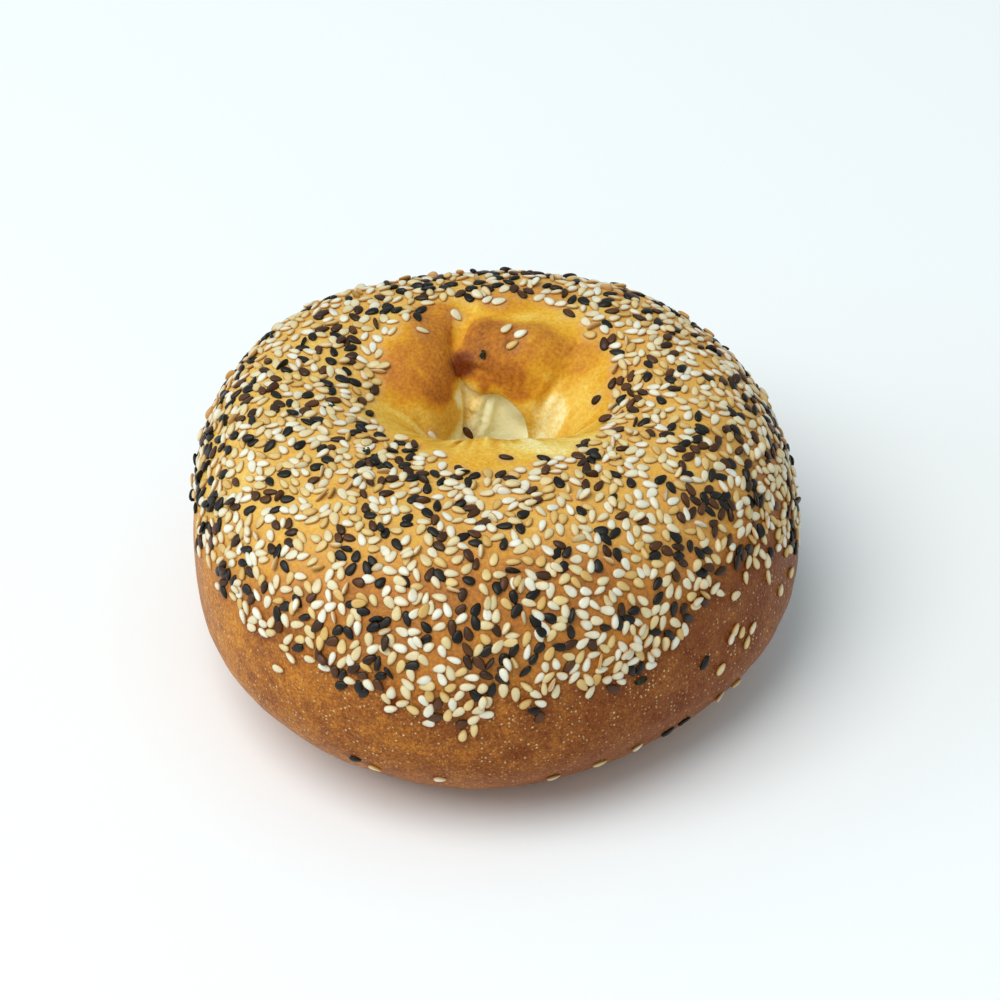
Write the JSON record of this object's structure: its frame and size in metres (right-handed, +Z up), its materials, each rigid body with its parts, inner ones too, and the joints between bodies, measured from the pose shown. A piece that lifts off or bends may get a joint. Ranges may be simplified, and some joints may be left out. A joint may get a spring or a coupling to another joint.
{
  "type": "sesame bagel",
  "caption": "Whole baked sesame bagel: a thick, glossy brown ring of bread with a narrow funnel hole, an overlapped rope end and a flat base, covered with mixed sesame seeds.",
  "frame": {"origin": "middle of the box at the base, on the surface the bagel lies on", "axes": "+Z up through the hole, -Y the near side, +Y the side where the rope's ends overlap"},
  "size_m": [0.1138, 0.1154, 0.0563],
  "materials": {
    "crust": "satin",
    "sesame_white": "satin",
    "sesame_golden": "satin",
    "sesame_brown": "satin",
    "sesame_black": "satin",
    "dried_herb": "matte"
  },
  "bodies": {
    "root": {"bagel": "crust"}
  },
  "joints": []
}
